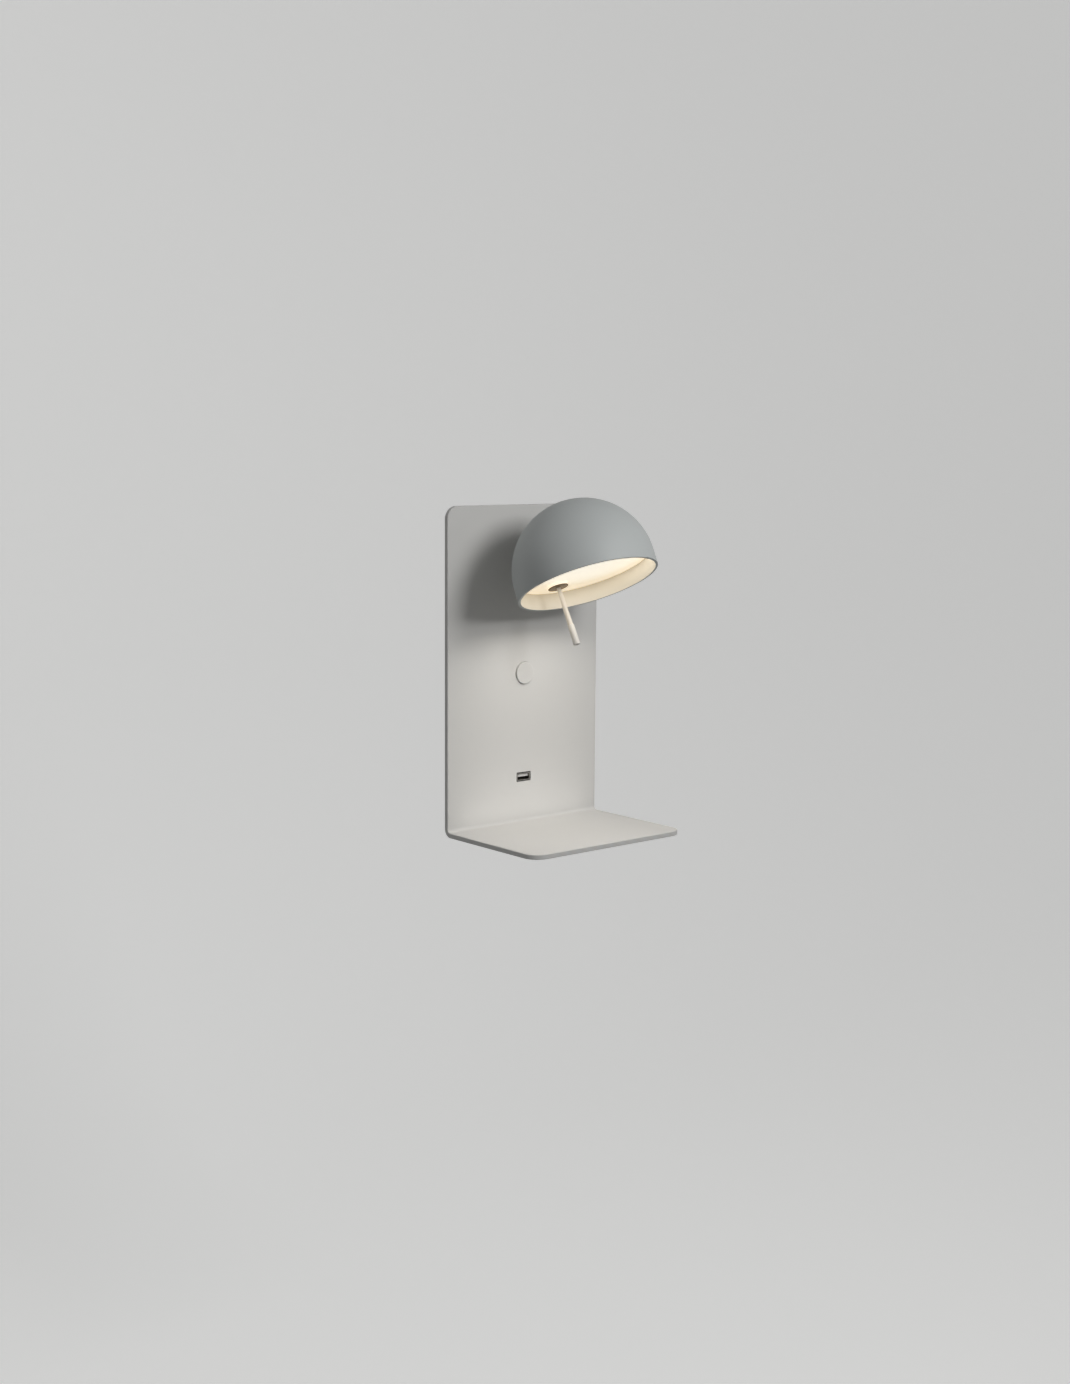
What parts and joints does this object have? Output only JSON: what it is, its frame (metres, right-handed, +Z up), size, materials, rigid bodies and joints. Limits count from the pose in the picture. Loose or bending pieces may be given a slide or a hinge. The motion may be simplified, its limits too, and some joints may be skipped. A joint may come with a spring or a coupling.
{
  "type": "wall lamp with shelf",
  "caption": "Bedside wall lamp: bent plate with panel and shelf, dome shade on a swivelling, tilting arm aimed by a stick, push button and USB charging port.",
  "frame": {"origin": "centre of the four wall-screw holes, on the wall's surface", "axes": "+Y points into the wall, +Z up, +X to the right seen from the room; the shelf and the shade are toward -Y"},
  "size_m": [0.16, 0.1574, 0.2753],
  "materials": {
    "plate_paint": "off-white powder coat, satin",
    "shade_paint": "light grey powder coat, satin",
    "arm_paint": "light grey powder coat, satin",
    "housing_paint": "dark grey powder coat",
    "zinc_steel": "zinc-plated steel",
    "spring_steel": "spring steel",
    "aluminium": "raw extruded aluminium",
    "tray_white": "white baked enamel",
    "button_paint": "off-white, satin",
    "white_plastic": "moulded, fine grain",
    "black_plastic": "moulded, fine grain",
    "slide_plastic": "self-lubricating",
    "opal": "opal diffuser, lit from behind",
    "nickel": "nickel-plated",
    "brass": "plain",
    "board": "white solder mask",
    "phosphor": "yellow phosphor",
    "lead_rubber": "smooth",
    "collar_metal": "dark bronze, satin",
    "stick_paint": "off-white, satin",
    "grip_plastic": "cream, smooth"
  },
  "bodies": {
    "lamp_body": {"panel_shelf": "plate_paint", "panel_studs": "zinc_steel", "rear_housing": "housing_paint", "housing_nuts": "zinc_steel", "wall_plate": "zinc_steel", "side_screws": "zinc_steel", "cable_grommet": "lead_rubber", "terminal_block": "white_plastic", "terminal_screws": "brass", "led_driver": "white_plastic", "driver_lid": "white_plastic", "module_screws": "zinc_steel", "switch_body": "black_plastic", "usb_case": "black_plastic", "usb_surround": "black_plastic", "usb_shell": "nickel", "usb_tongue": "white_plastic", "usb_contacts": "brass", "arm_bush": "slide_plastic", "stop_pin": "zinc_steel", "mains_lead": "lead_rubber", "usb_lead": "lead_rubber", "switch_lead": "lead_rubber", "lamp_lead": "lead_rubber"},
    "arm": {"arm_collar": "arm_paint", "arm_tube": "arm_paint", "arm_end": "arm_paint", "slide_washer": "slide_plastic", "wave_washer": "spring_steel", "stop_washer": "zinc_steel", "arm_nut": "zinc_steel"},
    "shade": {"shade_shell": "shade_paint", "reflector_tray": "tray_white", "tray_screws": "zinc_steel", "led_board": "board", "led_chips": "phosphor", "board_screws": "zinc_steel", "heat_sink": "aluminium", "diffuser": "opal", "hinge_bracket": "zinc_steel", "bracket_screws": "zinc_steel", "hinge_screw": "zinc_steel", "hinge_washers": "slide_plastic", "hinge_spring_washer": "spring_steel", "hinge_nut": "zinc_steel", "stick_collar": "collar_metal", "stick_rod": "stick_paint", "stick_grip": "grip_plastic"},
    "button": {"button_cap": "button_paint", "switch_plunger": "white_plastic"}
  },
  "joints": [
    {"name": "arm_swivel", "type": "hinge", "parent": "lamp_body", "child": "arm", "pos_m": [0, -0.0245, 0.0931], "axis": [0, -1, 0], "range_deg": [-60, 60]},
    {"name": "shade_tilt", "type": "hinge", "parent": "arm", "child": "shade", "pos_m": [0, -0.0593, 0.0931], "axis": [-1, 0, 0], "range_deg": [-25.4, 40]},
    {"name": "button_press", "type": "slide", "parent": "lamp_body", "child": "button", "axis": [0, 1, 0], "range_m": [0, 0.0012], "stiffness_N_per_m": 1500, "springref_m": -0.0008}
  ]
}
